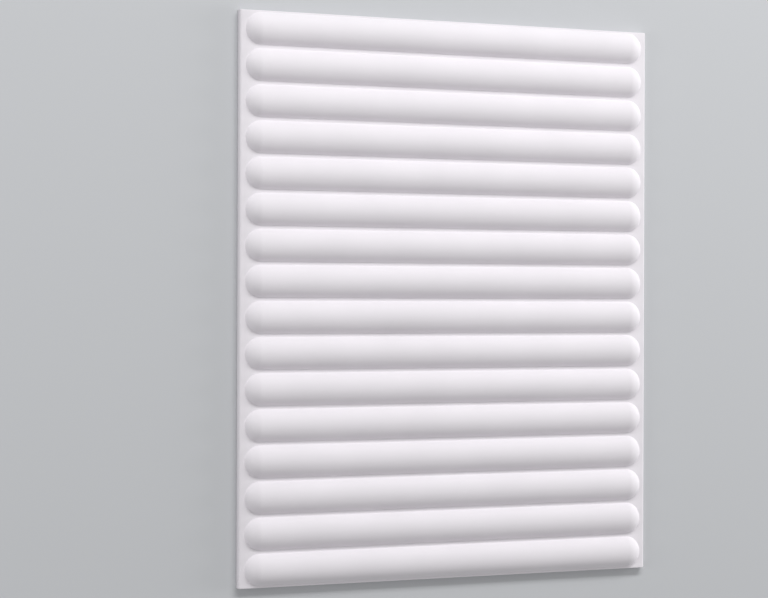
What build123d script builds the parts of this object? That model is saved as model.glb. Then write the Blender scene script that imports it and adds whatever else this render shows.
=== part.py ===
from build123d import *
import os

# Fluted wall panel with convex reeds, moulded in one piece, lying on its back with the reeds up.
# X runs along the reeds, Y runs across them and Z points out of the face.
# The origin is the middle of the back face.

# Panel, in millimetres
panel_length = 400.0     # along the reeds
base_thickness = 6.5     # plate behind the reeds
arris_radius = 1.8       # rounded front edge at the two reed ends

# Reeds
reed_count = 16
reed_pitch = 31.25       # groove to groove
groove_floor = 3.25      # flat between the feet of two reeds; half of it is left at each long edge
reed_rise = 8.0          # crest above the flat face
root_radius = 0.6        # hollow where a reed meets the flat face
end_margin = 5.0         # flat strip between the reed ends and the edge

# Sizes that follow
panel_width = reed_count * reed_pitch
reed_half_width = (reed_pitch - groove_floor) / 2
end_centre = panel_length / 2 - end_margin - reed_half_width
crest_level = base_thickness + reed_rise


# Plate with its two arrises
def base_plate():
    plate = Box(panel_length, panel_width, base_thickness, align=(Align.CENTER, Align.CENTER, Align.MIN))
    front_edges = plate.edges().filter_by(Axis.Y).group_by(Axis.Z)[-1]
    return fillet(front_edges, arris_radius)


# Half of a reed's section, from its centre line to its foot: one arc over a leg that stands in the plate
def half_section():
    foot = (reed_half_width, base_thickness)
    crest = (0, crest_level)
    leg = Polyline(foot, (reed_half_width, 0), (0, 0), crest)
    crown = TangentArc(crest, foot, tangent=(1, 0))
    return Plane.YZ * make_face(leg + crown)


# A straight reed whose ends are the same section turned half round, which gives a dome
def reed():
    half = half_section()
    straight = extrude(half + mirror(half, about=Plane.XZ), amount=end_centre, both=True)
    dome = Pos(-end_centre, 0, 0) * revolve(half, axis=Axis.Z, revolution_arc=180)
    return straight + dome + mirror(dome, about=Plane.YZ)


# The whole face: reeds side by side on the plate, each foot hollowed into the flat between them
def fluted_panel():
    one_reed = reed()
    first_row = (reed_pitch - panel_width) / 2
    rows = [Pos(0, first_row + row * reed_pitch, 0) * one_reed for row in range(reed_count)]
    face = base_plate() + rows
    flat = face.faces().filter_by(Plane.XY).sort_by(Axis.Z)[-1]
    feet = [edge for wire in flat.inner_wires() for edge in wire.edges()]
    return fillet(feet, root_radius)


panel = fluted_panel()
os.makedirs("parts", exist_ok=True)
export_step(panel, "parts/fluted_panel.step")
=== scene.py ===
import math
import bmesh
import bpy
from mathutils import Matrix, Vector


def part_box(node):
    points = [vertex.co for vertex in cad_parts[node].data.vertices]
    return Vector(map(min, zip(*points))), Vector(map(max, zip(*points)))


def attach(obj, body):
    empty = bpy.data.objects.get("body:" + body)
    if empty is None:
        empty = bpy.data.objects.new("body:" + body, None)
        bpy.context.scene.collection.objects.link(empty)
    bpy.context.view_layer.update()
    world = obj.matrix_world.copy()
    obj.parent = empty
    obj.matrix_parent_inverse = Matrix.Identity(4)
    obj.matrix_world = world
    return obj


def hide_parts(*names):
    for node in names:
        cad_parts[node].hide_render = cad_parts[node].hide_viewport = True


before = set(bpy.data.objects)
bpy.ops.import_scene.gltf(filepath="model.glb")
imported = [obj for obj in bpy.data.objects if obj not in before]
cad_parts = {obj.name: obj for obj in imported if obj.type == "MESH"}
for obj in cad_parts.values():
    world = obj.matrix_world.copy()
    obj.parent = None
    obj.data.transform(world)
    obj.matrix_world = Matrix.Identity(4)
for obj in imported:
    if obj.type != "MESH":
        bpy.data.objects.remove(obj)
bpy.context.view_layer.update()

mm = 0.001
weld = 0.002 * mm           # vertices closer than this are one
tolerance = 0.01 * mm       # how near counts as on a line or level


# sRGB hex, as picked in any paint program, to the linear colour that a shader wants
def hexColour(code):
    channels = [int(code[i:i + 2], 16) / 255 for i in (1, 3, 5)]
    linear = [c / 12.92 if c <= 0.04045 else ((c + 0.055) / 1.055) ** 2.4 for c in channels]
    return (*linear, 1.0)


# adds one shader node, sets its values and wires its inputs
def addNode(tree, kind, settings=None, inputs=None):
    node = tree.nodes.new(kind)
    for name, value in (settings or {}).items():
        setattr(node, name, value)
    for name, value in (inputs or {}).items():
        if isinstance(value, bpy.types.NodeSocket):
            tree.links.new(value, node.inputs[name])
        else:
            node.inputs[name].default_value = value
    return node


def newMaterial(name):
    material = bpy.data.materials.new(name)
    material.use_nodes = True
    material.node_tree.nodes.clear()
    return material


# Primer sprayed on moulded polyurethane: dull white, a fine dry stipple, faintly uneven where it dried
primer = {
    "colour": "#efebf0",
    "thinCoat": "#e7e3e8",      # where the coat is a touch thinner
    "roughness": 0.85,
    "ior": 1.5,
    "cloudSize": 45 * mm,
    "cloudDetail": 3.0,
    "stippleSize": 0.9 * mm,
    "stippleDetail": 2.0,
    "stippleDepth": 0.012 * mm,
}


def primerMaterial():
    material = newMaterial("sprayedPrimer")
    tree = material.node_tree
    place = addNode(tree, "ShaderNodeTexCoord").outputs["Object"]
    cloud = addNode(tree, "ShaderNodeTexNoise", None,
                    {"Vector": place, "Scale": 1 / primer["cloudSize"], "Detail": primer["cloudDetail"]})
    stipple = addNode(tree, "ShaderNodeTexNoise", None,
                      {"Vector": place, "Scale": 1 / primer["stippleSize"],
                       "Detail": primer["stippleDetail"]})
    coat = addNode(tree, "ShaderNodeMix", {"data_type": "RGBA"},
                   {"Factor": cloud.outputs["Fac"], "A": hexColour(primer["thinCoat"]),
                    "B": hexColour(primer["colour"])})
    bump = addNode(tree, "ShaderNodeBump", None,
                   {"Height": stipple.outputs["Fac"], "Distance": primer["stippleDepth"], "Strength": 1.0})
    shader = addNode(tree, "ShaderNodeBsdfPrincipled", None,
                     {"Base Color": coat.outputs["Result"], "Roughness": primer["roughness"],
                      "IOR": primer["ior"], "Normal": bump.outputs["Normal"]})
    addNode(tree, "ShaderNodeOutputMaterial", None, {"Surface": shader.outputs["BSDF"]})
    return material


# The panel: sizes as moulded, in metres, then how finely its curves are cut
panel = {
    "reeds": 16,
    "plate": 6.5 * mm,
    "margin": 5 * mm,           # flat strip past the reed ends
    "arris": 1.8 * mm,          # rounded front edge at the reed ends
    "grooveFloor": 3.25 * mm,   # flat between the feet of two reeds
    "rootRadius": 0.6 * mm,     # where a reed meets the floor
    "edgeRadius": 0.35 * mm,    # cut edges under the primer
    "crownSteps": 24,
    "rootSteps": 4,
    "domeSteps": 24,
    "arrisSteps": 6,
    "edgeSteps": 2,
    "cutAngle": 50,             # degrees; edges that turn more are cut edges
    "sharpAngle": 40,           # degrees; edges that turn more are shaded sharp
}


# edges whose two ends both pass a test
def edgesWhere(bm, test):
    return [e for e in bm.edges if all(test(v.co) for v in e.verts)]


def near(a, b):
    return abs(a - b) < tolerance


# the vertices or edges among what an operator gives back
def only(kind, geom):
    return [g for g in geom if isinstance(g, kind)]


# pulls new faces out of edges, and gives back the new edges and their vertices
def extrudeEdges(bm, edges, move):
    new = bmesh.ops.extrude_edge_only(bm, edges=edges)["geom"]
    verts = only(bmesh.types.BMVert, new)
    bmesh.ops.translate(bm, verts=verts, vec=move)
    return only(bmesh.types.BMEdge, new), verts


def buildPanel():
    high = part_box("fluted_panel")[1]
    halfLength = high.x
    halfWidth = high.y
    halfPitch = halfWidth / panel["reeds"]
    rise = high.z - panel["plate"]
    halfReed = halfPitch - panel["grooveFloor"] / 2
    crown = (halfReed ** 2 + rise ** 2) / (2 * rise)
    root = panel["rootRadius"]
    slope = math.acos((crown - rise + root) / (crown + root))   # steepest part of the flank
    halfFoot = (crown + root) * math.sin(slope)                 # where the root runs out on the floor
    endCentre = halfLength - panel["margin"] - halfReed
    arrisStart = halfLength - panel["arris"]

    # half of the reed's section: the crown from crest to flank, then the small root
    bm = bmesh.new()
    crest = bm.verts.new((0, 0, high.z))
    turned = bmesh.ops.spin(bm, geom=[crest], cent=(0, 0, high.z - crown), axis=(1, 0, 0),
                            angle=-slope, steps=panel["crownSteps"])
    flank = only(bmesh.types.BMVert, turned["geom_last"])
    bmesh.ops.spin(bm, geom=flank, cent=(0, halfFoot, panel["plate"] + root),
                   axis=(1, 0, 0), angle=slope, steps=panel["rootSteps"])

    # straight run, then a quarter dome turned about the end's centre
    extrudeEdges(bm, bm.edges[:], (endCentre, 0, 0))
    section = edgesWhere(bm, lambda co: near(co.x, endCentre))
    bmesh.ops.spin(bm, geom=section, cent=(endCentre, 0, 0), axis=(0, 0, 1),
                   angle=-math.pi / 2, steps=panel["domeSteps"])
    bmesh.ops.remove_doubles(bm, verts=bm.verts, dist=weld)

    # flat margin from the dome's foot to the arris, then the arris and the end wall
    def onFoot(co):
        radius = math.hypot(co.x - endCentre, co.y)
        return co.x > endCentre - tolerance and near(radius, halfFoot) and near(co.z, panel["plate"])
    marginEdge, marginVerts = extrudeEdges(bm, edgesWhere(bm, onFoot), (0, 0, 0))
    for vert in marginVerts:
        vert.co.x = arrisStart
    turned = bmesh.ops.spin(bm, geom=marginEdge, cent=(arrisStart, 0, panel["plate"] - panel["arris"]),
                            axis=(0, 1, 0), angle=math.pi / 2, steps=panel["arrisSteps"])
    arrisFoot = only(bmesh.types.BMEdge, turned["geom_last"])
    extrudeEdges(bm, arrisFoot, (0, 0, panel["arris"] - panel["plate"]))

    # half of the flat floor beside the reed
    extrudeEdges(bm, edgesWhere(bm, lambda co: near(co.y, halfFoot)), (0, halfPitch - halfFoot, 0))

    # a quarter becomes a whole reed, and the reed a whole face
    for axis in ("X", "Y"):
        bmesh.ops.mirror(bm, geom=bm.verts[:] + bm.edges[:] + bm.faces[:], axis=axis, merge_dist=weld)
    bmesh.ops.translate(bm, verts=bm.verts, vec=(0, halfPitch - halfWidth, 0))
    oneReed = bm.verts[:] + bm.edges[:] + bm.faces[:]
    for row in range(1, panel["reeds"]):
        copy = bmesh.ops.duplicate(bm, geom=oneReed)["geom"]
        verts = only(bmesh.types.BMVert, copy)
        bmesh.ops.translate(bm, verts=verts, vec=(0, 2 * halfPitch * row, 0))
    bmesh.ops.remove_doubles(bm, verts=bm.verts, dist=weld)

    # long edges drop to the floor, and the back closes the solid
    for side in (-halfWidth, halfWidth):
        rim = [e for e in bm.edges if e.is_boundary and all(near(v.co.y, side) for v in e.verts)]
        for vert in extrudeEdges(bm, rim, (0, 0, 0))[1]:
            vert.co.z = 0
    bmesh.ops.remove_doubles(bm, verts=bm.verts, dist=weld)
    bmesh.ops.dissolve_degenerate(bm, edges=bm.edges, dist=weld)
    backRim = [e for e in bm.edges if e.is_boundary]
    bmesh.ops.contextual_create(bm, geom=backRim)
    bmesh.ops.recalc_face_normals(bm, faces=bm.faces)

    # the primer fills and dulls the cut edges, so none is quite sharp
    cutEdges = [e for e in bm.edges if e.calc_face_angle() > math.radians(panel["cutAngle"])]
    bmesh.ops.bevel(bm, geom=cutEdges, offset=panel["edgeRadius"], affect="EDGES",
                    segments=panel["edgeSteps"], profile=0.5, material=-1)

    mesh = bpy.data.meshes.new("flutedPanel")
    print("open edges:", sum(e.is_boundary for e in bm.edges), "faces:", len(bm.faces),
          "volume litres:", round(bm.calc_volume() * 1000, 4))
    bm.to_mesh(mesh)
    bm.free()
    mesh.shade_smooth()
    mesh.set_sharp_from_angle(angle=math.radians(panel["sharpAngle"]))
    piece = bpy.data.objects.new("flutedPanel", mesh)
    bpy.context.scene.collection.objects.link(piece)
    mesh.materials.append(primerMaterial())
    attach(piece, "root")
    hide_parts("fluted_panel")
    print("panel built")


buildPanel()

# Floor, world and lamps, in metres
studio = {
    "floorColour": "#c8cacd",
    "floorRoughness": 0.8,
    "floorSize": 12.0,
    "floorDrop": 0.2 * mm,      # keeps the floor just clear of the panel's back
    "ambient": 0.28,            # strength of the white world
    "lampDistance": 2.4,
    # degrees round from +X, degrees above the floor, metres wide, metres high, watts
    "lamps": {
        "keyStrip": (90, 42, 2.1, 0.45, 30.5),
        "fillStrip": (270, 13, 2.1, 0.45, 4.0),
        "cornerSoftbox": (62, 36, 1.2, 0.7, 12.0),
        "rightSoftbox": (0, 10, 1.1, 0.8, 28.0),
        "leftSoftbox": (180, 25, 1.1, 0.8, 11.5),
    },
}


def buildFloor():
    bm = bmesh.new()
    bmesh.ops.create_grid(bm, x_segments=1, y_segments=1, size=studio["floorSize"] / 2)
    bmesh.ops.translate(bm, verts=bm.verts, vec=(0, 0, -studio["floorDrop"]))
    mesh = bpy.data.meshes.new("floor")
    bm.to_mesh(mesh)
    bm.free()
    floor = bpy.data.objects.new("floor", mesh)
    bpy.context.scene.collection.objects.link(floor)
    material = newMaterial("paleFloor")
    shader = addNode(material.node_tree, "ShaderNodeBsdfPrincipled", None,
                     {"Base Color": hexColour(studio["floorColour"]), "Roughness": studio["floorRoughness"]})
    addNode(material.node_tree, "ShaderNodeOutputMaterial", None, {"Surface": shader.outputs["BSDF"]})
    mesh.materials.append(material)


def buildLight():
    world = bpy.data.worlds.new("studioAir")
    world.use_nodes = True
    background = world.node_tree.nodes["Background"]
    background.inputs["Color"].default_value = (1, 1, 1, 1)
    background.inputs["Strength"].default_value = studio["ambient"]
    bpy.context.scene.world = world
    for name, (azimuth, elevation, width, height, power) in studio["lamps"].items():
        data = bpy.data.lights.new(name, "AREA")
        data.shape = "RECTANGLE"
        data.size = height
        data.size_y = width
        data.energy = power
        lamp = bpy.data.objects.new(name, data)
        aim = (Matrix.Rotation(math.radians(azimuth), 4, "Z")
               @ Matrix.Rotation(math.radians(90 - elevation), 4, "Y"))
        lamp.matrix_world = aim @ Matrix.Translation((0, 0, studio["lampDistance"]))
        bpy.context.scene.collection.objects.link(lamp)


# Camera: the angle the photo was taken from, looking down on the panel as it lies
view = {
    "place": (-789.6 * mm, 2.4 * mm, 1719.7 * mm),
    "yaw": 22.931,              # degrees, as pitch and roll
    "pitch": 0.060,
    "roll": 0.183,
    "focalPixels": 2097.6,      # focal length in pixels of the picture
    "imageWidth": 768,
    "sensorWidth": 36.0,        # millimetres, as Blender counts it
}


def buildCamera():
    data = bpy.data.cameras.new("camera")
    data.sensor_width = view["sensorWidth"]
    data.lens = view["focalPixels"] / view["imageWidth"] * view["sensorWidth"]
    camera = bpy.data.objects.new("camera", data)
    turn = (Matrix.Rotation(-math.radians(view["yaw"]), 4, "Y")
            @ Matrix.Rotation(-math.radians(view["pitch"]), 4, "X")
            @ Matrix.Rotation(math.radians(view["roll"]), 4, "Z"))
    camera.matrix_world = Matrix.Translation(view["place"]) @ turn
    bpy.context.scene.collection.objects.link(camera)
    bpy.context.scene.camera = camera


buildFloor()
buildLight()
buildCamera()
bpy.context.scene.view_settings.view_transform = "Standard"
print("floor, light and camera set")
